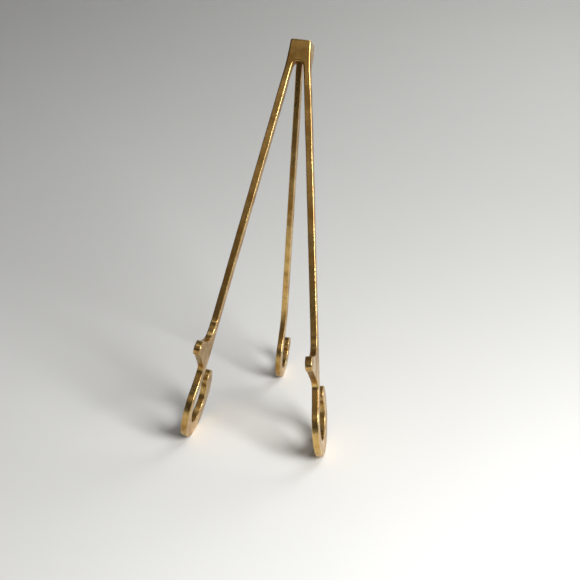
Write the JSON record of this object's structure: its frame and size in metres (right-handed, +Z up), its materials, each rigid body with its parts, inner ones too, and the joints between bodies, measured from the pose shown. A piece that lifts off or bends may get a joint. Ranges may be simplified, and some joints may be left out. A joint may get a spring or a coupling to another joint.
{
  "type": "folding display easel",
  "caption": "Cast brass display easel: a front frame with scroll feet and plate ledges, and a rear leg that folds on a hinge pin.",
  "frame": {"origin": "on the table, under the middle of the easel's outline", "axes": "+X to the right as the easel faces the viewer, +Y towards the rear leg, +Z up"},
  "size_m": [0.1164, 0.1708, 0.3081],
  "materials": {
    "polished_brass": "polished, aged to a warm golden brown"
  },
  "bodies": {
    "frame": {"front_frame": "polished_brass", "hinge_pin": "polished_brass"},
    "rear_leg": {"rear_leg": "polished_brass"}
  },
  "joints": [
    {"name": "rear_leg_fold", "type": "hinge", "parent": "frame", "child": "rear_leg", "pos_m": [0, 0.05524, 0.29302], "axis": [-1, 0, 0], "range_deg": [0, 25]}
  ]
}
